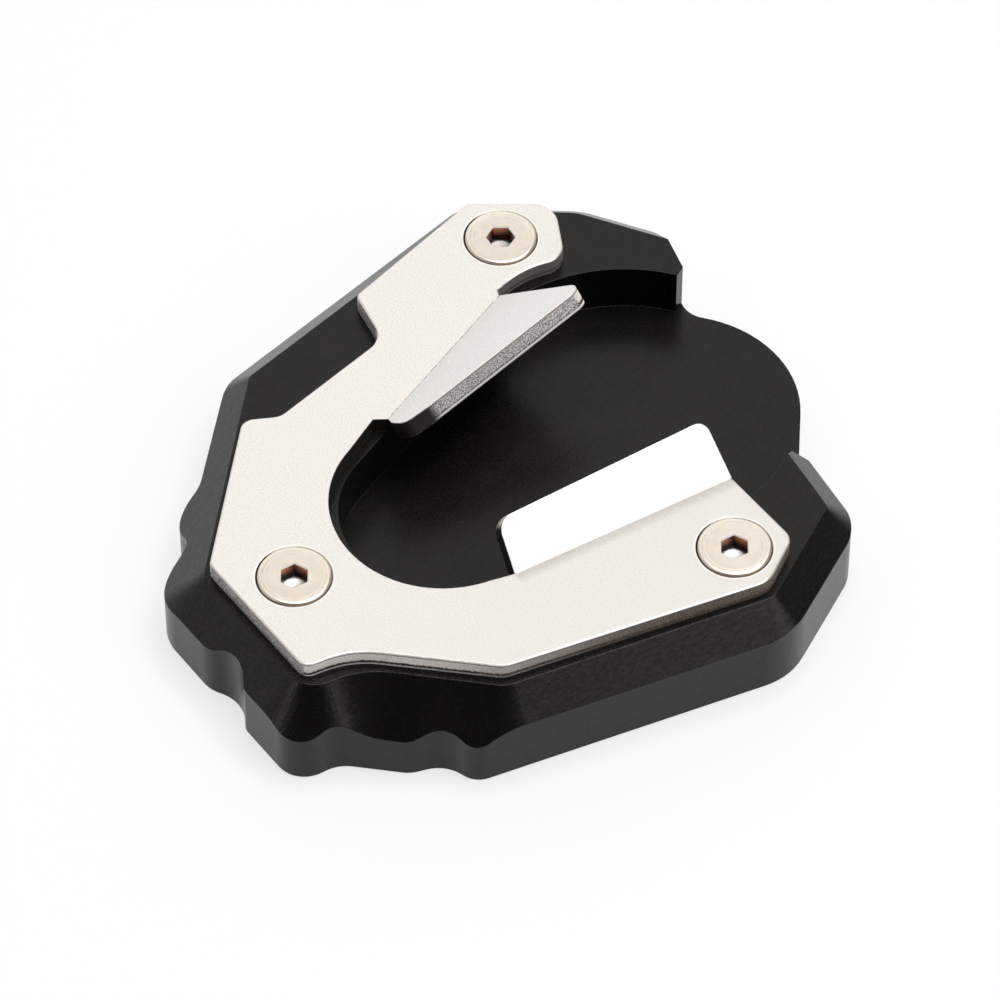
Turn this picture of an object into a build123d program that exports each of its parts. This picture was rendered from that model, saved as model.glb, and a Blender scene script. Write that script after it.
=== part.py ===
from build123d import *
import os

# Kickstand foot enlarger: a chamfered base with a pocket for the stand's foot, a clamping plate with
# two bent tabs, and three countersunk screws. Lengths are in millimetres.
# The origin is on the ground face, under the centre of the pocket's wide round. +Z is up and +Y points
# along the long straight side, towards the open end of the pocket.

# Base. The plan's corner points below are drawn for the drawn length, then scaled to the base's own length
base_length = 116.4
drawn_length = 116.45
base_height = 15.7
pocket_depth = 9.0
floor_thickness = base_height - pocket_depth
flank_angle = 45.0
wide_radius = 28.3
narrow_radius = 16.8
narrow_drop = 37.33
narrow_shift = -4.9
ground_edge_break = 0.3

# Clamping plate
plate_thickness = 3.0
plate_top = base_height + plate_thickness
opening_radius = narrow_radius + 1.5
tab_angle = 35.0
rolled_edge = 0.35

# Screws: M6 countersunk with a hexagon socket, 12 long
screw_size = 6.0
screw_length = 12.0
head_diameter = 11.8
head_rim = 0.6
sink_diameter = 12.4
socket_width = 4.0
socket_depth = 3.1
thread_clearance = 0.05
screw_places = {
    "screw_upper": (-37.37, 9.04, 44.3),
    "screw_left": (-10.28, -65.32, 14.3),
    "screw_right": (35.37, -12.52, 14.3),
}

# The upright wall of the base, anticlockwise from the rear corner: corner point and rounding radius
wall_corners = [
    ((50.1, -14.4), 12.0),
    ((42.55, 9.1), 8.0),
    ((25.1, 14.4), 3.0),
    ((6.2, 36.2), 20.3),
    ((-10.6, 26.2), 4.6),
    ((-24.6, 32.7), 2.0),
    ((-36.58, 27.48), 12.0),
    ((-51.46, 14.09), 5.0),
    ((-51.4, -41.1), 9.5),
    ((-39.2, -58.6), 4.5),
    ((-39.0, -65.6), 7.6),
    ((-31.6, -68.0), 3.6),
    ((-30.1, -78.15), 8.7),
    ((-14.2, -80.8), 6.0),
    ((-8.5, -78.45), 6.5),
    ((-4.6, -82.4), 2.0),
    ((9.0, -84.6), 5.0),
    ((11.0, -77.05), 6.0),
    ((20.3, -70.4), 5.5),
    ((23.05, -65.35), 6.0),
    ((28.9, -64.5), 4.0),
]

# The top edge of the base, anticlockwise from the rear corner
crown_corners = [
    ((45.14, -13.57), 3.0),
    ((38.72, 5.95), 1.8),
    ((10.0, 15.0), 0.0),
    ((-8.0, 34.95), 0.0),
    ((-34.15, 23.87), 8.0),
    ((-47.22, 12.1), 1.5),
    ((-47.22, -39.41), 1.5),
    ((-22.26, -73.82), 3.0),
    ((5.62, -79.04), 5.0),
    ((8.34, -69.57), 16.0),
    ((27.28, -56.05), 5.0),
]

# The outer edge of the clamping plate, clockwise from the root of the long tab to the root of the short one
plate_corners = [
    ((-29.66, 0.45), 0.0),
    ((-29.85, 6.9), 15.0),
    ((-26.66, 13.3), 3.7),
    ((-36.39, 20.88), 4.5),
    ((-46.81, 10.8), 2.0),
    ((-45.46, -16.7), 1.5),
    ((-35.74, -20.3), 4.0),
    ((-35.74, -43.58), 3.0),
    ((-39.5, -48.35), 2.3),
    ((-21.66, -72.93), 1.5),
    ((3.83, -77.08), 2.0),
    ((6.59, -69.47), 15.0),
    ((26.05, -55.18), 4.0),
    ((44.03, -13.73), 5.0),
    ((40.59, -4.58), 3.0),
]

# Where the opening's round ends on either side, in degrees about its centre, and the root of the long tab
opening_left_end = 194.8
opening_right_end = -25.1
long_root = (-24.51, -33.6)

# The cut that opens the pocket, from the wide round's centre outwards
mouth_corners = [(0.0, 0.0), (23.8, 9.1), (39.8, 27.2), (40.0, 60.0), (-22.3, 60.0), (-12.6, 25.3)]

# The two ends of each fold
long_fold_ends = ((-28.59, -0.2), (-22.79, -31.85))
short_fold_ends = ((14.25, -40.65), (25.23, -2.24))


def placed(point):
    """A drawn plan point, scaled to the base's length"""
    return point[0] * base_length / drawn_length, point[1] * base_length / drawn_length


def outline(corners):
    """Closed outline through drawn plan points, each corner rounded by its own radius"""
    points = [placed(point) for point, radius in corners]
    radii = [radius * base_length / drawn_length for point, radius in corners]
    FilletPolyline(*points, radius=radii, close=True)


def opening_end(angle):
    """Point just inside the opening's round, in plan"""
    end = Vector(opening_radius - 0.05, 0).rotate(Axis.Z, angle) + Vector(*opening_centre)
    return end.X, end.Y


def fold_plane(fold, angle):
    """Plane through a fold line, its X along the fold, tilted up from the plate by the angle"""
    start, end = [Vector(*point, plate_top) for point in fold]
    along = (end - start).normalized()
    return Plane(origin=start, x_dir=along, z_dir=Vector(0, 0, 1).rotate(Axis((0, 0, 0), along), angle))


narrow_centre = placed((narrow_shift, -narrow_drop))
opening_centre = (narrow_centre[0] + 0.29, narrow_centre[1] - 0.3)
long_fold = [placed(end) for end in long_fold_ends]
short_fold = [placed(end) for end in short_fold_ends]
long_length = (Vector(*long_fold[1]) - Vector(*long_fold[0])).length
short_length = (Vector(*short_fold[1]) - Vector(*short_fold[0])).length

# The tabs' corners in their own planes, X along the fold, with their rounding radii
long_tab = [
    ((0.0, 0.0), 0.0),
    ((-2.0, 19.1), 2.2),
    ((long_length - 2.7, 7.0), 6.0),
    ((long_length + 1.3, 4.9), 2.0),
    ((long_length + 1.0, 1.6), 1.5),
    ((long_length, 0.0), 0.0),
]
short_tab = [
    ((0.0, 0.0), 0.0),
    ((0.95, 8.9), 3.0),
    ((short_length - 0.25, 10.25), 2.0),
    ((short_length, 0.0), 0.0),
]


with BuildSketch() as footprint:
    with BuildLine():
        outline(wall_corners)
    make_face()

# The rim: everything of the base above the pocket's floor, with its 45 degree flank
with BuildPart() as rim:
    with BuildSketch(Plane.XY.offset(floor_thickness)):
        add(footprint.sketch)
    extrude(amount=pocket_depth)
    with BuildSketch(Plane.XY.offset(base_height)):
        with BuildLine():
            outline(crown_corners)
        make_face()
    extrude(amount=-pocket_depth, taper=-flank_angle, mode=Mode.INTERSECT)
    with BuildSketch(Plane.XY.offset(base_height)):
        Circle(wide_radius)
        with Locations(narrow_centre):
            Circle(narrow_radius)
        make_hull()
    extrude(amount=-pocket_depth, mode=Mode.SUBTRACT)
    with BuildSketch(Plane.XY.offset(base_height)):
        Polygon(*[placed(corner) for corner in mouth_corners], align=None)
    extrude(amount=-pocket_depth, mode=Mode.SUBTRACT)

with BuildPart() as base:
    add(footprint.sketch)
    extrude(amount=floor_thickness)
    chamfer(base.faces().sort_by(Axis.Z)[0].edges(), length=ground_edge_break)
    add(rim.part)
    for x, y, turn in screw_places.values():
        with Locations((*placed((x, y)), base_height)):
            CounterSinkHole(
                radius=screw_size / 2 + thread_clearance,
                counter_sink_radius=screw_size / 2 + 0.35,
                depth=screw_length - plate_thickness + 1.5,
                counter_sink_angle=90,
            )

with BuildPart() as clamp_plate:
    with BuildSketch(Plane.XY.offset(base_height)):
        with BuildLine():
            outline([(long_fold_ends[0], 0.0), *plate_corners, (short_fold_ends[1], 0.0)])
        make_face()
    extrude(amount=plate_thickness)
    fillet(clamp_plate.faces().sort_by(Axis.Z)[-1].edges(), radius=rolled_edge)
    with BuildSketch(Plane.XY.offset(base_height)):
        with Locations(opening_centre):
            Circle(opening_radius)
        Polygon(
            opening_centre,
            opening_end(opening_left_end),
            placed(long_root),
            long_fold[1],
            long_fold[0],
            (0, 30),
            short_fold[1],
            short_fold[0],
            opening_end(opening_right_end),
            align=None,
        )
    extrude(amount=plate_thickness, mode=Mode.SUBTRACT)
    for fold, length, corners in ((long_fold, long_length, long_tab), (short_fold, short_length, short_tab)):
        with BuildSketch(fold_plane(fold, tab_angle)):
            with BuildLine():
                points = [point for point, radius in corners]
                FilletPolyline(*points, radius=[radius for point, radius in corners], close=True)
            make_face()
        extrude(amount=-plate_thickness)
        level = fold_plane(fold, 0)
        with BuildSketch(Plane(origin=level.origin, x_dir=level.y_dir, z_dir=level.x_dir)):
            with BuildLine():
                Line((0, 0), (0, -plate_thickness))
                CenterArc((0, 0), plate_thickness, -90, tab_angle)
                Line((0, 0), Vector(plate_thickness, 0).rotate(Axis.Z, tab_angle - 90))
            make_face()
        extrude(amount=length)
    for x, y, turn in screw_places.values():
        with Locations((*placed((x, y)), plate_top)):
            CounterSinkHole(
                radius=sink_diameter / 2 - plate_thickness,
                counter_sink_radius=sink_diameter / 2,
                counter_sink_angle=90,
            )


def screw(x, y, turn):
    """Countersunk screw seated in the plate's cone, its socket turned about its axis"""
    seat = plate_top - (sink_diameter - head_diameter) / 2
    cone = (head_diameter - screw_size) / 2
    with BuildPart() as made:
        with BuildSketch(Plane.XZ):
            with BuildLine():
                Polyline(
                    (0, seat + head_rim),
                    (head_diameter / 2 - 0.15, seat + head_rim),
                    (head_diameter / 2, seat + head_rim - 0.15),
                    (head_diameter / 2, seat),
                    (screw_size / 2, seat - cone),
                    (screw_size / 2, seat + head_rim - screw_length + 0.8),
                    (screw_size / 2 - 0.8, seat + head_rim - screw_length),
                    (0, seat + head_rim - screw_length),
                    (0, seat + head_rim),
                )
            make_face()
        revolve(axis=Axis.Z)
        with BuildSketch(Plane.XY.offset(seat + head_rim)):
            RegularPolygon(radius=socket_width / 2, side_count=6, major_radius=False, rotation=turn)
        extrude(amount=-socket_depth, mode=Mode.SUBTRACT)
    return Pos(x, y, 0) * made.part


os.makedirs("parts", exist_ok=True)
base.part.label = "base"
export_step(base.part, "parts/base.step")
clamp_plate.part.label = "clamp_plate"
export_step(clamp_plate.part, "parts/clamp_plate.step")
for name, (x, y, turn) in screw_places.items():
    body = screw(*placed((x, y)), turn)
    body.label = name
    export_step(body, f"parts/{name}.step")
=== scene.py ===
"""Looks of a kickstand foot enlarger: black anodised base, blasted sheet with two tabs, socket screws"""

import math
from collections import namedtuple

import bpy
from bpy.props import FloatProperty, FloatVectorProperty, PointerProperty
from bpy.types import Operator, Panel, PropertyGroup
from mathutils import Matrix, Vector


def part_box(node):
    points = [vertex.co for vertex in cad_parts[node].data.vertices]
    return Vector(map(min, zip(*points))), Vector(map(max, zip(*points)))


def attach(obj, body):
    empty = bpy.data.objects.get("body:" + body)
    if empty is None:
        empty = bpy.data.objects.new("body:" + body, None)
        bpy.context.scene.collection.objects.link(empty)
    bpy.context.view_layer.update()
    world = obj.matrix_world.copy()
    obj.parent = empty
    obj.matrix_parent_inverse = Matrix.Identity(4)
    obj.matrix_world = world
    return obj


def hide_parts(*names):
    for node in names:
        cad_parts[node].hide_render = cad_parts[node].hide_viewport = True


bl_info = {
    "name": "Kickstand foot enlarger",
    "version": (1, 0, 0),
    "blender": (4, 5, 0),
    "location": "3D View > Sidebar > Foot enlarger",
    "description": "Finishes the base and the clamping plate, models the socket screws and sets the studio",
    "category": "Object",
}

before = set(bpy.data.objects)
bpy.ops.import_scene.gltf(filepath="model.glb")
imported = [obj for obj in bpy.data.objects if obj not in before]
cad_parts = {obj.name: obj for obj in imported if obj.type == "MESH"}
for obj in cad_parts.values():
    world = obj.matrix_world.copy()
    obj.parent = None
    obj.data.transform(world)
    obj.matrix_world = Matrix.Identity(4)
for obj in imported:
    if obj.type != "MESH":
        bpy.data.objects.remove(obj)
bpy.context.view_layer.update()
MM = 0.001
PLATE_TOP = 18.7 * MM
PLATE_THICKNESS = 3.0 * MM
COUNTERSINK_RADIUS = 6.2 * MM
OPENING_CENTRE = (-4.6 * MM, -37.6 * MM, 0)
# How far each screw's socket is turned about its axis, in degrees
SOCKET_TURNS = {"screw_upper": 44.3, "screw_left": 14.3, "screw_right": 14.3}

# A tab: the ends of its fold on the plate's upper side, its reach in plan, and the way its upper face looks
Tab = namedtuple("Tab", "start end reach up")
LONG_TAB = Tab(
    start=Vector((-28.59 * MM, -0.2 * MM, PLATE_TOP)),
    end=Vector((-22.79 * MM, -31.85 * MM, PLATE_TOP)),
    reach=17 * MM,
    up=Vector((-0.5642, -0.1034, 0.8192)),
)
SHORT_TAB = Tab(
    start=Vector((14.25 * MM, -40.65 * MM, PLATE_TOP)),
    end=Vector((25.23 * MM, -2.24 * MM, PLATE_TOP)),
    reach=10 * MM,
    up=Vector((0.5515, -0.1576, 0.8192)),
)
# The way the long tab's free side faces
LONG_TAB_SIDE = (0.817, -0.217, 0.535)

# Bands of a cut edge from the plate's upper side down: share of the thickness, then the colour. The white
# line at the top and the white line low down are painted highlights, the black band under the light band is
# the dark fracture zone deepened by painted shade, and the black at the bottom is painted shadow in the gap
# under the sheet
EDGE_BANDS = (
    (0.0, (1.0, 0.985, 0.96)),
    (0.06, (1.0, 0.985, 0.96)),
    (0.075, (0.30, 0.18, 0.12)),
    (0.115, (0.30, 0.19, 0.14)),
    (0.145, (0.95, 0.91, 0.88)),
    (0.64, (1.0, 0.93, 0.86)),
    (0.69, (0.02, 0.013, 0.010)),
    (0.83, (0.02, 0.013, 0.010)),
    (0.855, (1.0, 0.98, 0.95)),
    (0.96, (1.0, 0.98, 0.95)),
    (0.975, (0.02, 0.02, 0.02)),
    (1.0, (0.02, 0.02, 0.02)),
)

# The thread's depth as a share of its pitch, and how far below a crest each of its rings lies, as a share too
THREAD_DEPTH = 0.61
ROOT_RINGS = (0.44, 0.56)
CREST_RINGS = (0.94, 1.0)

# Soft boxes: name, azimuth from +X towards +Y and elevation in degrees, width and height in metres, radiance
SOFT_BOXES = (
    ("soft_back_left", 134, 50, 1.5, 1.4, 0.10),
    ("soft_right", 16, 45, 1.0, 1.3, 1.4),
    ("soft_top", 60, 79, 1.1, 1.1, 3.9),
    ("soft_front_left", 258, 33, 0.2, 0.5, 2.2),
)
LAMP_DISTANCE = 1.5
LAMP_TARGET = Vector((0, -30, 10)) * MM

CAMERA_TARGET = Vector((1.98, -31.42, 18.7)) * MM
CAMERA_OFFSET = Vector((427.5, -438.1, 733.5)) * MM


class BaseFinish(PropertyGroup):
    """Finish of the black base"""

    colour: FloatVectorProperty(
        name="Anodised colour",
        description="Colour of the black skin",
        default=(0.0038, 0.0034, 0.0031),
        subtype="COLOR",
        size=3,
        min=0,
        max=1,
    )
    roughness: FloatProperty(
        name="Roughness",
        description="Roughness of the black skin",
        default=0.25,
        subtype="FACTOR",
        min=0,
        max=1,
    )
    grain: FloatProperty(
        name="Grain size",
        description="Width of one blasting mark",
        default=0.35 * MM,
        unit="LENGTH",
        precision=5,
    )
    edge: FloatProperty(
        name="Edge round",
        description="Radius of the broken edges",
        default=0.22 * MM,
        unit="LENGTH",
        precision=5,
    )


class PlateFinish(PropertyGroup):
    """Finish of the clamping plate"""

    colour: FloatVectorProperty(
        name="Sheet colour",
        description="Colour of the blasted sheet",
        default=(0.905, 0.85, 0.79),
        subtype="COLOR",
        size=3,
        min=0,
        max=1,
    )
    roughness: FloatProperty(
        name="Roughness",
        description="Roughness of the sheet's face",
        default=0.46,
        subtype="FACTOR",
        min=0,
        max=1,
    )
    grain: FloatProperty(
        name="Grain size",
        description="Width of one grain of the face",
        default=0.22 * MM,
        unit="LENGTH",
        precision=5,
    )


class ScrewSizes(PropertyGroup):
    """Sizes and finish of the socket screws"""

    head_diameter: FloatProperty(
        name="Head",
        description="Diameter of the head",
        default=11.8 * MM,
        unit="LENGTH",
        precision=4,
    )
    shank_diameter: FloatProperty(
        name="Thread",
        description="Outside diameter of the thread",
        default=6.0 * MM,
        unit="LENGTH",
        precision=4,
    )
    length: FloatProperty(
        name="Length",
        description="Overall length with the head",
        default=12.0 * MM,
        unit="LENGTH",
        precision=4,
    )
    rim: FloatProperty(
        name="Head rim",
        description="Height of the head's upright rim",
        default=0.6 * MM,
        unit="LENGTH",
        precision=5,
    )
    lip: FloatProperty(
        name="Lip",
        description="Radius of the head's rolled lip",
        default=0.38 * MM,
        unit="LENGTH",
        precision=5,
    )
    mouth: FloatProperty(
        name="Mouth",
        description="Width of the socket's chamfered mouth",
        default=0.18 * MM,
        unit="LENGTH",
        precision=5,
    )
    socket: FloatProperty(
        name="Socket",
        description="Width across the socket's flats",
        default=4.2 * MM,
        unit="LENGTH",
        precision=4,
    )
    socket_depth: FloatProperty(
        name="Socket depth",
        description="Depth of the socket's walls",
        default=3.1 * MM,
        unit="LENGTH",
        precision=4,
    )
    pitch: FloatProperty(
        name="Pitch",
        description="Advance of the thread in one turn",
        default=1.0 * MM,
        unit="LENGTH",
        precision=4,
    )
    colour: FloatVectorProperty(
        name="Colour",
        description="Colour of the screws' metal",
        default=(0.955, 0.865, 0.755),
        subtype="COLOR",
        size=3,
        min=0,
        max=1,
    )


class StudioSettings(PropertyGroup):
    """Light and background"""

    floor_colour: FloatVectorProperty(
        name="Floor",
        description="Colour of the floor",
        default=(0.98, 0.985, 0.99),
        subtype="COLOR",
        size=3,
        min=0,
        max=1,
    )
    whiteness: FloatProperty(
        name="Whiteness",
        description="How far the floor's shadow fades into white",
        default=0.7,
        min=0,
        max=1,
        subtype="FACTOR",
    )
    light: FloatProperty(name="Light", description="Strength of the soft boxes", default=1.0, min=0)
    floor_size: FloatProperty(
        name="Floor size", description="Length of the floor's side", default=30.0, unit="LENGTH"
    )


def screw_places():
    """Middle of each screw's head, on its upper face"""
    places = {}
    for node in SOCKET_TURNS:
        low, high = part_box(node)
        places[node] = Vector(((low.x + high.x) / 2, (low.y + high.y) / 2, high.z))
    return places


def select_none():
    """Leave edit mode and deselect every object"""
    if bpy.context.object and bpy.context.object.mode != "OBJECT":
        bpy.ops.object.mode_set(mode="OBJECT")
    bpy.ops.object.select_all(action="DESELECT")


def only(piece):
    """Make a piece the one selected and active object"""
    select_none()
    piece.select_set(True)
    bpy.context.view_layer.objects.active = piece


class Lathe:
    """Grows a round shape ring by ring from the selected edge loop, in edit mode"""

    def __init__(self, radius, height):
        self.radius = radius
        self.height = height

    def ring(self, radius, height):
        """Extrude the loop to a new radius and height"""
        bpy.ops.mesh.extrude_region_move(TRANSFORM_OT_translate={"value": (0, 0, height - self.height)})
        factor = radius / self.radius
        bpy.ops.transform.resize(value=(factor, factor, 1), center_override=(0, 0, height))
        self.radius = radius
        self.height = height


def choose_ring(piece, height, reach):
    """In edit mode, select the edges of the ring at a height that lie further than the reach from the axis"""
    bpy.ops.mesh.select_mode(type="EDGE")
    bpy.ops.mesh.select_all(action="DESELECT")
    bpy.ops.object.mode_set(mode="OBJECT")
    points = piece.data.vertices
    for edge in piece.data.edges:
        ends = [points[i].co for i in edge.vertices]
        edge.select = all(abs(p.z - height) < 1e-6 and p.xy.length > reach for p in ends)
    bpy.ops.object.mode_set(mode="EDIT")


def selected_radius(piece):
    """Largest distance of a piece's selected vertices from its axis, in edit mode"""
    bpy.ops.object.mode_set(mode="OBJECT")
    radius = max(v.co.xy.length for v in piece.data.vertices if v.select)
    bpy.ops.object.mode_set(mode="EDIT")
    return radius


class Graph:
    """Adds nodes to a node tree; every input takes a value or another node's output"""

    def __init__(self, tree):
        self.nodes = tree.nodes
        self.links = tree.links

    def set(self, socket, value):
        """Link a socket, or set its value"""
        if isinstance(value, bpy.types.NodeSocket):
            self.links.new(value, socket)
        else:
            socket.default_value = value

    def add(self, kind, inputs=None, **settings):
        """A node with its settings and inputs"""
        node = self.nodes.new(kind)
        for name, value in settings.items():
            setattr(node, name, value)
        for name, value in (inputs or {}).items():
            self.set(node.inputs[name], value)
        return node

    def math(self, operation, a, b=0.0, c=None):
        """Result of a Math node"""
        inputs = {0: a, 1: b}
        if c is not None:
            inputs[2] = c
        return self.add("ShaderNodeMath", inputs, operation=operation).outputs[0]

    def product(self, first, *others):
        """Product of two or more values"""
        for other in others:
            first = self.math("MULTIPLY", first, other)
        return first

    def rest(self, value):
        """What a share leaves of 1"""
        return self.math("SUBTRACT", 1.0, value)

    def vector(self, operation, a, b=(0, 0, 0)):
        """Result of a Vector Math node"""
        node = self.add("ShaderNodeVectorMath", {0: a, 1: tuple(b)}, operation=operation)
        return node.outputs["Value" if operation in ("DOT_PRODUCT", "DISTANCE", "LENGTH") else "Vector"]

    def span(self, value, low, high, to_low=0.0, to_high=1.0):
        """Map a range of a value smoothly on another range"""
        inputs = {"Value": value, "From Min": low, "From Max": high, "To Min": to_low, "To Max": to_high}
        return self.add("ShaderNodeMapRange", inputs, interpolation_type="SMOOTHSTEP").outputs["Result"]

    def mix(self, share, a, b, blend="MIX"):
        """Mix of two colours"""
        node = self.add("ShaderNodeMix", data_type="RGBA", blend_type=blend)
        self.set(node.inputs["Factor"], share)
        self.set(node.inputs[6], a)
        self.set(node.inputs[7], b)
        return node.outputs[2]


class Finish(Graph):
    """Node graph of one material, which reads a point's place and the way the surface faces there"""

    def __init__(self, name):
        self.material = bpy.data.materials.new(name)
        self.material.use_nodes = True
        super().__init__(self.material.node_tree)
        self.shader = self.nodes["Principled BSDF"]
        coordinates = self.nodes.new("ShaderNodeTexCoord")
        self.place = coordinates.outputs["Object"]
        self.way = coordinates.outputs["Normal"]
        self.x, self.y, self.z = self.add("ShaderNodeSeparateXYZ", {0: self.place}).outputs
        self.upright = self.add("ShaderNodeSeparateXYZ", {0: self.way}).outputs["Z"]

    def give(self, name, value):
        """Set or link one input of the shader"""
        self.set(self.shader.inputs[name], value)

    def noise(self, size, detail=2.0, roughness=0.5, distortion=0.0, stretch=None, turn=0.0):
        """Noise whose features are about the size given, in metres"""
        place = self.place
        if stretch is not None:
            mapping = {"Vector": place, "Scale": stretch, "Rotation": (0, 0, turn)}
            place = self.add("ShaderNodeMapping", mapping).outputs[0]
        inputs = {
            "Vector": place,
            "Scale": 1.0 / size,
            "Detail": detail,
            "Roughness": roughness,
            "Distortion": distortion,
        }
        return self.add("ShaderNodeTexNoise", inputs).outputs[0]

    def facing(self, way, low, high):
        """1 where the surface faces a way, by the cosine between the two"""
        return self.span(self.vector("DOT_PRODUCT", self.way, way), low, high)

    def bump(self, height, distance, strength=1.0, below=None):
        """Bump from a height of 0 to 1 that stands for the distance given"""
        inputs = {"Height": height, "Distance": distance, "Strength": strength}
        if below is not None:
            inputs["Normal"] = below
        return self.add("ShaderNodeBump", inputs).outputs[0]

    def rounded(self, radius):
        """Normal that rounds the sharp edges by a radius"""
        return self.add("ShaderNodeBevel", {"Radius": radius}, samples=6).outputs[0]


def rgba(colour, factor=1.0):
    """Four-part colour, made darker or lighter by the factor"""
    return (*[min(1.0, c * factor) for c in colour], 1.0)


def anodised_black(finish):
    """Black anodised skin over blasted and milled metal"""
    g = Finish("anodised_black")
    blasting = g.noise(finish.grain, detail=3.0, roughness=0.6)
    cloud = g.noise(9 * MM)
    milling = g.noise(0.5 * MM, stretch=(1.0, 0.22, 1.0), turn=math.radians(-22))
    sloping = g.product(g.span(g.upright, 0.97, 0.85, 0.35, 1.0), g.span(g.upright, 0.2, 0.5, 0.3, 1.0))
    skin = g.mix(g.span(cloud, 0.35, 0.65), rgba(finish.colour, 0.85), rgba(finish.colour, 1.2))
    g.give("Base Color", skin)
    g.give("IOR", 1.43)
    g.give("Specular Tint", (1.0, 0.96, 0.93, 1))

    # The gloss follows the milling marks and is a little lower on the upright walls; it is cut low at the
    # foot as painted shade along the ground edge
    gloss = g.math("MULTIPLY_ADD", g.math("SUBTRACT", milling, 0.5), g.product(sloping, 0.5), 0.5)
    foot = g.span(g.z, 0.1 * MM, 0.5 * MM, 0.15, 1.0)
    walls = g.span(g.upright, 0.05, 0.3, 0.8, 1.0)
    g.give("Specular IOR Level", g.product(gloss, foot, walls))

    rough = g.math("MULTIPLY_ADD", blasting, 0.14, finish.roughness - 0.07)
    g.give("Roughness", g.math("MULTIPLY_ADD", cloud, 0.06, rough))
    low = g.bump(g.product(milling, sloping), 0.05 * MM, 0.6, g.rounded(finish.edge))
    g.give("Normal", g.bump(g.product(blasting, sloping), 0.022 * MM, 0.6, low))
    return g.material


def along_fold(g, tab):
    """How far a point lies along a tab's fold and to the flat side of it, and the fold's length, in metres"""
    along = (tab.end - tab.start).normalized()
    toward_flat = Vector((along.y, -along.x, 0))
    run, off = [
        g.math("SUBTRACT", g.vector("DOT_PRODUCT", g.place, way), tab.start.dot(way))
        for way in (along, toward_flat)
    ]
    return run, off, (tab.end - tab.start).length


def depth_in_sheet(g):
    """Depth below the sheet's upper side, in metres, also where a tab is bent up"""
    depth = g.math("SUBTRACT", PLATE_TOP, g.z)
    for tab in (LONG_TAB, SHORT_TAB):
        run, off, length = along_fold(g, tab)
        below = g.math("SUBTRACT", tab.start.dot(tab.up), g.vector("DOT_PRODUCT", g.place, tab.up))
        on_tab = g.product(
            g.math("GREATER_THAN", run, -2.5 * MM),
            g.math("LESS_THAN", run, length + 2.0 * MM),
            g.math("GREATER_THAN", off, -tab.reach),
            g.math("LESS_THAN", off, 0.0),
        )
        depth = g.math("MULTIPLY_ADD", g.math("SUBTRACT", below, depth), on_tab, depth)
    return depth


def fold_shade(g, face):
    """Painted shade: a fine dark line along the long tab's fold, and a soft dull grey band on the flat beside
    the short tab's
    """
    specks = g.noise(0.45 * MM, roughness=0.6)
    for tab, shade in ((LONG_TAB, (0.30, 0.28, 0.26, 1)), (SHORT_TAB, (0.45, 0.41, 0.38, 1))):
        run, off, length = along_fold(g, tab)
        started = g.span(run, -0.3 * MM, 0.3 * MM)
        within = g.product(started, g.span(run, length + 0.3 * MM, length - 0.3 * MM))
        if tab is LONG_TAB:
            mark = g.product(g.span(off, -0.16 * MM, -0.04 * MM), g.span(off, 0.14 * MM, 0.04 * MM))
            mark = g.product(mark, g.span(specks, 0.35, 0.60))
        else:
            mark = g.product(g.span(off, -0.1 * MM, 0.25 * MM), g.span(off, 2.6 * MM, 0.35 * MM))
            mark = g.product(mark, g.span(specks, 0.15, 0.62, 0.2, 0.6))
        face = g.mix(g.product(mark, within), face, shade)
    return face


def off_axes(g, places):
    """Flat offset of a point from the axis of each screw"""
    offsets = [g.vector("SUBTRACT", g.place, (place.x, place.y, 0)) for place in places]
    return [g.vector("MULTIPLY", offset, (1, 1, 0)) for offset in offsets]


def axis_distance(g, offsets):
    """Distance from the nearest of the screws' axes"""
    nearest, *others = [g.vector("LENGTH", offset) for offset in offsets]
    for other in others:
        nearest = g.math("MINIMUM", nearest, other)
    return nearest


def beside_axis(g, offsets, way):
    """How far a point near a screw lies to one side of its axis, along a flat direction"""
    total = 0.0
    for offset in offsets:
        near = g.math("LESS_THAN", g.vector("LENGTH", offset), 8 * MM)
        total = g.math("MULTIPLY_ADD", near, g.vector("DOT_PRODUCT", offset, way), total)
    return total


def sheet_face(g, finish, grain, tabs, reach):
    """Colour of the sheet's faces: grain, painted shade that darkens them towards +X and on the tabs, painted
    shade along the folds, a painted highlight ring at each countersink
    """
    cloud = g.noise(5 * MM)
    face = g.mix(g.span(grain, 0.32, 0.68), rgba(finish.colour, 0.82), rgba(finish.colour, 1.14))
    face = g.mix(g.product(g.span(cloud, 0.3, 0.7), 0.3), face, rgba(finish.colour, 0.96))
    # Painted shade: the face darkens towards +X
    face = g.mix(g.span(g.x, -60 * MM, 60 * MM, 0.0, 0.5), face, rgba(finish.colour, 0.70))
    # Painted shade: the tabs' upper faces take a greyer tone
    face = g.mix(tabs, face, (0.84, 0.825, 0.80, 1))
    # Painted shade along the folds
    face = fold_shade(g, face)
    # Painted highlight: a light ring round the rim of each countersink
    ring = g.product(
        g.span(reach, COUNTERSINK_RADIUS - 0.05 * MM, COUNTERSINK_RADIUS + 0.05 * MM),
        g.span(reach, COUNTERSINK_RADIUS + 0.35 * MM, COUNTERSINK_RADIUS + 0.20 * MM),
    )
    return g.mix(g.product(ring, 0.5), face, (1.0, 0.98, 0.95, 1))


def edge_bands(g, level):
    """Colour of a cut edge by its share of the thickness"""
    ramp = g.add("ShaderNodeValToRGB", {"Fac": level})
    stops = ramp.color_ramp.elements
    first, *middle, last = EDGE_BANDS
    for stop, band in ((stops[0], first), (stops[1], last)):
        stop.position, stop.color = band[0], (*band[1], 1)
    for share, colour in middle:
        stops.new(share).color = (*colour, 1)
    return ramp.outputs["Color"]


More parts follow.
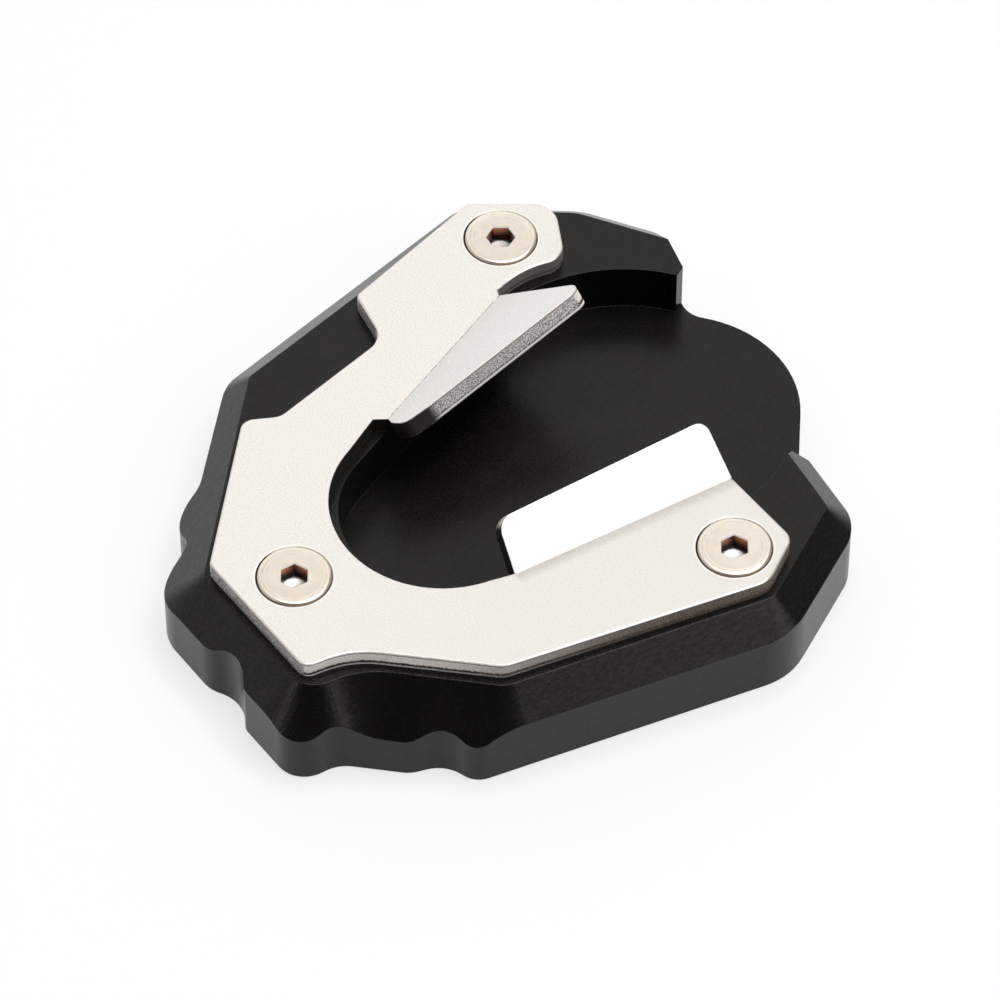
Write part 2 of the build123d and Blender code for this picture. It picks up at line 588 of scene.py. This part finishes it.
def cut_edges(g, level, torn):
    """Colour of the cut edges: bands with torn metal, and painted shade on some stretches"""
    tear = g.mix(g.span(torn, 0.38, 0.62), (0.80, 0.78, 0.76, 1), (1.0, 1.0, 1.0, 1))
    side = g.mix(1.0, edge_bands(g, level), tear, "MULTIPLY")

    # The core of the long tab's free side is coarse
    specks = g.noise(0.14 * MM, detail=1.0)
    coarse = g.mix(g.span(specks, 0.40, 0.60), (0.10, 0.095, 0.095, 1), (0.95, 0.92, 0.91, 1))
    core = g.product(g.span(level, 0.12, 0.16), g.span(level, 0.80, 0.77))
    side = g.mix(g.product(g.facing(LONG_TAB_SIDE, 0.94, 0.98), core), side, coarse)

    # Painted shade: the edges that face -Y are dark, with light streaks
    streaks = g.mix(g.span(torn, 0.42, 0.58), (0.04, 0.037, 0.034, 1), (0.75, 0.71, 0.68, 1))
    shaded = g.product(g.facing((0, -1, 0), 0.86, 0.96), g.span(level, 0.10, 0.14))
    side = g.mix(shaded, side, streaks)

    # Painted shade: the long tab's lower end and the upright wall of the opening are almost black
    run, off, length = along_fold(g, LONG_TAB)
    root = g.product(
        g.span(run, length - 4.5 * MM, length - 2.5 * MM),
        g.math("LESS_THAN", off, 0.6 * MM),
        g.math("LESS_THAN", run, length + 6 * MM),
        g.span(off, -9 * MM, -8 * MM),
    )
    flat = g.vector("MULTIPLY", g.place, (1, 1, 0))
    inward = g.vector("DISTANCE", flat, OPENING_CENTRE)
    inner = g.product(g.span(inward, 22 * MM, 21 * MM), g.span(g.upright, 0.45, 0.25))
    side = g.mix(g.math("MAXIMUM", root, inner), side, (0.02, 0.017, 0.015, 1))

    # The edges turn brown towards +X
    brown = g.mix(g.span(torn, 0.40, 0.60), (0.015, 0.010, 0.008, 1), (0.24, 0.17, 0.12, 1))
    brown_share = g.product(g.span(g.x, 14 * MM, 38 * MM, 0.0, 0.98), g.span(level, 0.04, 0.08))
    side = g.mix(brown_share, side, brown)

    # Painted shade: the wall of the notch beside the upper screw is grey
    notch = g.product(
        g.span(g.x, -18 * MM, -21 * MM), g.span(g.y, -2 * MM, 0.0), g.facing((0.93, -0.37, 0.0), 0.3, 0.6)
    )
    return g.mix(g.product(notch, 0.85), side, (0.15, 0.13, 0.12, 1))


def blasted_sheet(finish, places):
    """Blasted stainless sheet: even bright grain on its faces, banded cut edges with painted highlights and
    shade, painted shade in the countersinks
    """
    g = Finish("blasted_sheet")
    grain = g.noise(finish.grain, roughness=0.7)
    torn = g.noise(0.2 * MM, detail=3.0, roughness=0.75)
    tabs = g.math("MAXIMUM", *[g.facing(tab.up, 0.90, 0.97) for tab in (LONG_TAB, SHORT_TAB)])
    depth = depth_in_sheet(g)
    edge = g.span(depth, 0.14 * MM, 0.20 * MM)
    under = g.span(depth, PLATE_THICKNESS - 0.03 * MM, PLATE_THICKNESS - 0.01 * MM)
    cut = g.product(edge, g.rest(under))

    # The bands of the cut edges wander, all but the lowest
    wander = g.math("MULTIPLY_ADD", g.noise(0.4 * MM, detail=4.0, roughness=0.7), 0.6, -0.3)
    level = g.math("DIVIDE", depth, PLATE_THICKNESS)
    level = g.math("MULTIPLY_ADD", g.product(level, wander), g.span(level, 0.84, 0.80), level)

    # Painted shade: the gap round each head is dark, less so on its side towards +Y
    offsets = off_axes(g, places)
    reach = axis_distance(g, offsets)
    beside = beside_axis(g, offsets, (-0.23, 0.97, 0))
    countersink_shade = g.product(
        g.rest(g.span(reach, COUNTERSINK_RADIUS + 0.05 * MM, COUNTERSINK_RADIUS + 0.10 * MM)),
        g.span(depth, 0.01 * MM, 0.03 * MM),
        g.span(beside, 0.5 * MM, 5.5 * MM, 1.0, 0.25),
    )
    colour = g.mix(cut, sheet_face(g, finish, grain, tabs, reach), cut_edges(g, level, torn))
    g.give("Base Color", g.mix(countersink_shade, colour, (0.03, 0.022, 0.018, 1)))

    bare = g.math("MULTIPLY_ADD", tabs, -0.2, 0.7)
    g.give("Metallic", g.product(bare, g.rest(g.product(cut, 0.9))))
    rolled = g.product(g.span(depth, 0.0, 0.05 * MM), g.rest(edge))
    rough = g.math("MULTIPLY_ADD", grain, 0.12, finish.roughness - 0.06)
    rough = g.math("MULTIPLY_ADD", tabs, -0.2, rough)
    rough = g.math("MULTIPLY_ADD", rolled, -0.15, rough)
    g.give("Roughness", g.math("MULTIPLY_ADD", cut, 0.05, rough))
    grained = g.product(grain, g.rest(cut), g.rest(g.product(tabs, 0.8)))
    height = g.math("ADD", grained, g.product(torn, cut))
    g.give("Normal", g.bump(height, 0.05 * MM, 0.8, g.rounded(0.2 * MM)))
    return g.material


def screw_metal(sizes, places):
    """Plain screw metal: soft cloudy head with faint turning marks, brown socket walls darkened downwards by
    painted shade, painted highlights on the socket's mouth and floor
    """
    g = Finish("screw_metal")
    reach = axis_distance(g, off_axes(g, places))
    top = places[0].z
    floor = top - sizes.socket_depth
    mouth_foot = top - sizes.mouth
    cloud = g.noise(1.8 * MM, distortion=0.4)
    fine = g.noise(0.25 * MM)
    turning = {"W": g.product(reach, 1.0 / (0.35 * MM)), "Scale": 1.0, "Detail": 2.0}
    rings = g.add("ShaderNodeTexNoise", turning, noise_dimensions="1D").outputs[0]
    metal = g.mix(g.span(cloud, 0.3, 0.7), rgba(sizes.colour, 0.93), rgba(sizes.colour, 1.06))
    warm = g.mix(1.0, metal, (1.0, 0.95, 0.88, 1), "MULTIPLY")
    metal = g.mix(g.span(g.noise(2.6 * MM), 0.42, 0.62), metal, warm)
    metal = g.mix(g.span(rings, 0.3, 0.7), metal, rgba(sizes.colour, 1.04))

    # The socket: painted highlights make the mouth and the floor white, and painted shade darkens the brown
    # walls downwards
    socket = g.rest(g.span(reach, 2.55 * MM, 2.60 * MM))
    bed = g.product(socket, g.span(g.z, floor + 0.08 * MM, floor + 0.05 * MM))
    mouth = g.product(
        socket,
        g.span(g.z, mouth_foot - 0.02 * MM, mouth_foot + 0.01 * MM),
        g.span(g.z, top - 0.005 * MM, top - 0.015 * MM),
    )
    wall = g.product(
        socket,
        g.span(g.z, mouth_foot, mouth_foot - 0.1 * MM),
        g.span(g.z, floor - 0.05 * MM, floor + 0.05 * MM),
    )
    fade = g.span(g.z, top - 2.2 * MM, top - 0.3 * MM)
    brown = g.mix(fade, (0.035, 0.022, 0.018, 1), (0.55, 0.27, 0.15, 1))

    # The rolled lip of the head is warm
    head = sizes.head_diameter / 2
    lip = g.product(
        g.span(reach, head - 0.10 * MM, head - 0.04 * MM),
        g.span(g.z, top - 0.15 * MM, top - 0.3 * MM),
    )
    metal = g.mix(lip, metal, (0.85, 0.58, 0.40, 1))
    # Painted highlights: the socket's mouth and floor are white
    metal = g.mix(g.math("MAXIMUM", mouth, bed), metal, (1.0, 0.97, 0.93, 1))
    g.give("Base Color", g.mix(wall, metal, brown))
    g.give("Metallic", g.math("MULTIPLY_ADD", g.math("MAXIMUM", mouth, lip), -0.9, 1.0))
    g.give("Roughness", g.math("MULTIPLY_ADD", fine, 0.10, 0.27))
    low = g.bump(cloud, 0.04 * MM, 0.5)
    low = g.bump(rings, 0.006 * MM, 0.5, low)
    g.give("Normal", g.bump(fine, 0.008 * MM, 0.4, low))
    return g.material


def paint(piece, material):
    """Give a piece its one material"""
    piece.data.materials.clear()
    piece.data.materials.append(material)


class ENLARGER_OT_finish_base(Operator):
    """Give the base its black anodised skin"""

    bl_idname = "enlarger.finish_base"
    bl_label = "Finish base"

    def execute(self, context):
        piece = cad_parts["base"]
        paint(piece, anodised_black(context.scene.enlarger_base))
        return {"FINISHED"}


class ENLARGER_OT_finish_plate(Operator):
    """Give the clamping plate its blasted faces and cut edges"""

    bl_idname = "enlarger.finish_plate"
    bl_label = "Finish clamping plate"

    def execute(self, context):
        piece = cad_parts["clamp_plate"]
        paint(piece, blasted_sheet(context.scene.enlarger_plate, screw_places().values()))
        return {"FINISHED"}


def model_screw(sizes):
    """One screw with its axis on Z and the top of its head at the origin"""
    select_none()
    hexagon = sizes.socket / math.sqrt(3)
    floor = -sizes.socket_depth
    head = sizes.head_diameter / 2
    shank = sizes.shank_diameter / 2
    cone_foot = -sizes.rim - head + shank
    neck = cone_foot - 0.6 * MM
    neck_radius = shank - 0.02 * MM
    root_radius = shank - THREAD_DEPTH * sizes.pitch
    drill_radius = hexagon * 0.86
    drill_tip = hexagon * 0.1
    drill_drop = hexagon * 0.42

    # The socket's floor: a hexagon that runs into a drilled cone
    bpy.ops.mesh.primitive_circle_add(vertices=6, radius=hexagon, fill_type="NOTHING", location=(0, 0, 0))
    piece = bpy.context.object
    bpy.ops.object.mode_set(mode="EDIT")
    bpy.ops.transform.translate(value=(0, 0, floor))
    bpy.ops.transform.rotate(value=math.radians(30), orient_axis="Z", center_override=(0, 0, 0))
    bpy.ops.mesh.subdivide(number_cuts=7)
    drill = Lathe(hexagon, floor)
    drill.ring(drill_radius, floor)
    bpy.ops.transform.tosphere(value=1.0)
    drill.ring(drill_tip, floor - drill_drop)
    bpy.ops.mesh.merge(type="CENTER")

    # The socket's walls and mouth, then the head out to its rim
    choose_ring(piece, floor, sizes.socket * 0.49)
    body = Lathe(hexagon, floor)
    body.ring(hexagon, -sizes.mouth)
    body.ring(hexagon + sizes.mouth, 0)
    body.ring(hexagon * 1.3, 0)
    bpy.ops.transform.tosphere(value=1.0)
    body.radius = selected_radius(piece)
    body.ring(sizes.head_diameter * 0.38, 0)
    body.ring(head, 0)
    body.ring(head, -sizes.rim)

    # The cone, the neck and the turns of the thread
    body.ring(shank + 0.1 * MM, cone_foot + 0.1 * MM)
    body.ring(neck_radius, cone_foot - 0.15 * MM)
    body.ring(neck_radius, neck)
    for turn in range(int((sizes.length + neck - 0.7 * MM) / sizes.pitch)):
        crest = neck - turn * sizes.pitch
        for drop in ROOT_RINGS:
            body.ring(root_radius, crest - drop * sizes.pitch)
        for drop in CREST_RINGS:
            body.ring(shank, crest - drop * sizes.pitch)
    body.ring(shank - 0.8 * MM, -sizes.length)
    bpy.ops.mesh.edge_face_add()

    choose_ring(piece, 0, head - 0.01 * MM)
    bpy.ops.mesh.bevel(offset=sizes.lip, segments=4)
    bpy.ops.mesh.select_all(action="SELECT")
    bpy.ops.mesh.normals_make_consistent(inside=False)
    bpy.ops.object.mode_set(mode="OBJECT")
    bpy.ops.object.shade_smooth_by_angle(angle=math.radians(32))
    return piece


class ENLARGER_OT_socket_screws(Operator):
    """Model the countersunk socket screws in their places"""

    bl_idname = "enlarger.socket_screws"
    bl_label = "Socket screws"

    def execute(self, context):
        sizes = context.scene.enlarger_screws
        places = screw_places()
        first = model_screw(sizes)
        paint(first, screw_metal(sizes, list(places.values())))
        for node, place in places.items():
            only(first)
            bpy.ops.object.duplicate()
            piece = bpy.context.object
            piece.name = node + "_turned"
            piece.rotation_euler.z = math.radians(SOCKET_TURNS[node])
            piece.location = place
            bpy.ops.object.transform_apply(location=True, rotation=True, scale=True)
            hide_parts(node)
            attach(piece, "root")
        only(first)
        bpy.ops.object.delete()
        return {"FINISHED"}


class ENLARGER_OT_studio(Operator):
    """Set the floor, the soft boxes, the world and the camera"""

    bl_idname = "enlarger.studio"
    bl_label = "Studio"

    def execute(self, context):
        settings = context.scene.enlarger_studio
        build_floor(settings)
        for name, azimuth, elevation, width, height, radiance in SOFT_BOXES:
            soft_box(name, azimuth, elevation, width, height, radiance * settings.light)
        build_world(context.scene)
        build_camera(context.scene)
        return {"FINISHED"}


def build_floor(settings):
    """Pale floor that carries the object's shadow, just below the ground face"""
    select_none()
    bpy.ops.mesh.primitive_plane_add(size=settings.floor_size, location=(0, 0, -0.02 * MM))
    floor = bpy.context.object
    floor.name = "studio_floor"
    g = Finish("studio_floor")
    g.give("Base Color", rgba(settings.floor_colour))
    g.give("Roughness", 1.0)
    g.give("Specular IOR Level", 0.0)
    rays = g.add("ShaderNodeLightPath")
    seen = g.math("MAXIMUM", rays.outputs["Is Camera Ray"], rays.outputs["Is Glossy Ray"])
    seen = g.math("MAXIMUM", seen, rays.outputs["Is Transmission Ray"])
    white = g.add("ShaderNodeEmission", {"Color": (1, 1, 1, 1), "Strength": 1.0}).outputs[0]
    shares = {0: g.product(seen, settings.whiteness), 1: g.shader.outputs[0], 2: white}
    mix = g.add("ShaderNodeMixShader", shares)
    g.set(g.nodes["Material Output"].inputs["Surface"], mix.outputs[0])
    paint(floor, g.material)


def soft_box(name, azimuth, elevation, width, height, radiance):
    """Area light that faces the object"""
    a, e = math.radians(azimuth), math.radians(elevation)
    toward = Vector((math.cos(a) * math.cos(e), math.sin(a) * math.cos(e), math.sin(e)))
    select_none()
    bpy.ops.object.light_add(type="AREA", location=LAMP_TARGET + toward * LAMP_DISTANCE)
    lamp = bpy.context.object
    lamp.name = name
    lamp.rotation_euler = toward.to_track_quat("Z", "Y").to_euler()
    lamp.data.shape = "RECTANGLE"
    lamp.data.size = width
    lamp.data.size_y = height
    lamp.data.energy = radiance * width * height * math.pi


def build_world(scene):
    """Dim room, darker on the camera's side, with a white sweep behind the object"""
    world = bpy.data.worlds.new("studio_world")
    world.use_nodes = True
    scene.world = world
    g = Graph(world.node_tree)
    toward = g.add("ShaderNodeTexCoord").outputs["Generated"]
    left = g.vector("DOT_PRODUCT", toward, (-0.86, -0.5, 0.0))
    front = g.vector("DOT_PRODUCT", toward, (0.557, -0.658, 0.506))
    behind = g.vector("DOT_PRODUCT", toward, (-0.695, 0.719, 0.0))
    room = g.mix(g.span(left, -0.3, 0.7), (0.12, 0.12, 0.12, 1), (0.55, 0.55, 0.55, 1))
    room = g.mix(g.span(front, 0.35, 0.8), room, (0.03, 0.03, 0.03, 1))
    room = g.mix(g.span(behind, 0.58, 0.75), room, (0.95, 0.96, 0.97, 1))
    g.set(g.nodes["Background"].inputs["Color"], room)


def build_camera(scene):
    """Long lens from the front right, about fifty degrees above the floor"""
    data = bpy.data.cameras.new("studio_camera")
    camera = bpy.data.objects.new("studio_camera", data)
    scene.collection.objects.link(camera)
    camera.location = CAMERA_TARGET + CAMERA_OFFSET
    camera.rotation_euler = (-CAMERA_OFFSET).to_track_quat("-Z", "Y").to_euler()
    data.sensor_fit = "HORIZONTAL"
    data.sensor_width = 36.0
    data.lens = 216.0
    data.clip_start = 0.01
    data.clip_end = 50.0
    scene.camera = camera
    scene.view_settings.view_transform = "Standard"


class ENLARGER_PT_sidebar(Panel):
    """Lists the steps and their settings"""

    bl_label = "Foot enlarger"
    bl_idname = "ENLARGER_PT_sidebar"
    bl_space_type = "VIEW_3D"
    bl_region_type = "UI"
    bl_category = "Foot enlarger"

    def draw(self, context):
        for step, (name, group) in zip(STEPS, GROUPS.items()):
            box = self.layout.box()
            for field in group.__annotations__:
                box.prop(getattr(context.scene, name), field)
            box.operator(step.bl_idname)


# The settings of each step, in the steps' order
GROUPS = {
    "enlarger_base": BaseFinish,
    "enlarger_plate": PlateFinish,
    "enlarger_screws": ScrewSizes,
    "enlarger_studio": StudioSettings,
}
STEPS = (ENLARGER_OT_finish_base, ENLARGER_OT_finish_plate, ENLARGER_OT_socket_screws, ENLARGER_OT_studio)


def register():
    """Register the settings, the operators and the panel"""
    for name, group in GROUPS.items():
        bpy.utils.register_class(group)
        setattr(bpy.types.Scene, name, PointerProperty(type=group))
    for step in (*STEPS, ENLARGER_PT_sidebar):
        bpy.utils.register_class(step)


def unregister():
    """Undo what register did"""
    for step in reversed((*STEPS, ENLARGER_PT_sidebar)):
        bpy.utils.unregister_class(step)
    for name, group in GROUPS.items():
        delattr(bpy.types.Scene, name)
        bpy.utils.unregister_class(group)


def main():
    """Run the steps in order"""
    register()
    bpy.ops.enlarger.finish_base()
    bpy.ops.enlarger.finish_plate()
    bpy.ops.enlarger.socket_screws()
    bpy.ops.enlarger.studio()


if __name__ == "__main__":
    main()
